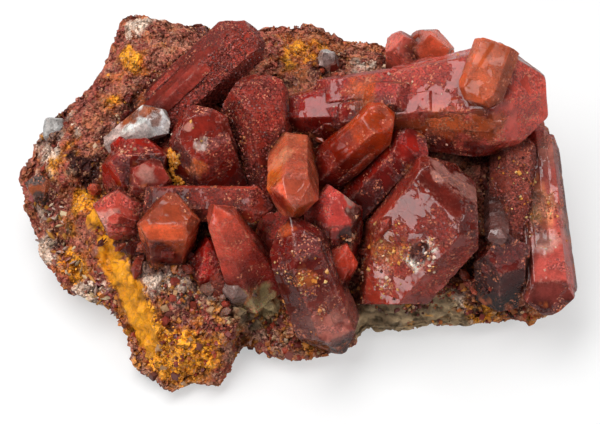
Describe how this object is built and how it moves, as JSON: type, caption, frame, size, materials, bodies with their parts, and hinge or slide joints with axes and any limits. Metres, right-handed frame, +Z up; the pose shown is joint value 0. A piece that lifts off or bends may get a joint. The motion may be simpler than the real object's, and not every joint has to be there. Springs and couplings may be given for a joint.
{
  "type": "quartz crystal cluster on matrix",
  "caption": "Cluster of red and orange quartz crystals growing from a flat-bottomed piece of iron-stained matrix rock.",
  "frame": {"origin": "middle of the rock's flat underside, at the base of the specimen's bounding box", "axes": "+X along the specimen's length, towards the tip of the great crystal; -Y towards the show side; +Z up"},
  "size_m": [0.1009, 0.0717, 0.0431],
  "materials": {
    "matrix_rock": "granular, iron-stained, with ochre patches",
    "glossy_quartz": "glossy crystal faces with growth steps",
    "frosted_quartz": "frosted and druse-coated",
    "orange_quartz": "satin",
    "clear_quartz": "clear to smoky"
  },
  "bodies": {
    "root": {"matrix": "matrix_rock", "great_crystal": "glossy_quartz", "back_knob_left": "glossy_quartz", "ridge_crystal": "frosted_quartz", "frosted_crystal": "frosted_quartz", "clear_sliver": "clear_quartz", "block_crystal": "glossy_quartz", "arch_crystal": "glossy_quartz", "cigar_crystal": "frosted_quartz", "thumb_crystal": "orange_quartz", "spire_crystal": "orange_quartz", "ruby_crystal": "glossy_quartz", "smoky_knob": "clear_quartz", "shoulder_crystal": "glossy_quartz", "ember_crystal": "orange_quartz", "prow_crystal": "glossy_quartz", "shadow_crystal": "glossy_quartz", "lantern_crystal": "orange_quartz", "flame_crystal": "orange_quartz", "wine_crystal": "glossy_quartz", "window_crystal": "glossy_quartz", "glass_prism": "clear_quartz", "plum_crystal": "glossy_quartz", "dusty_crystal": "frosted_quartz", "flank_crystal": "glossy_quartz", "back_chip": "glossy_quartz", "west_point": "glossy_quartz", "west_pane": "clear_quartz", "pale_chip": "clear_quartz"}
  },
  "joints": []
}
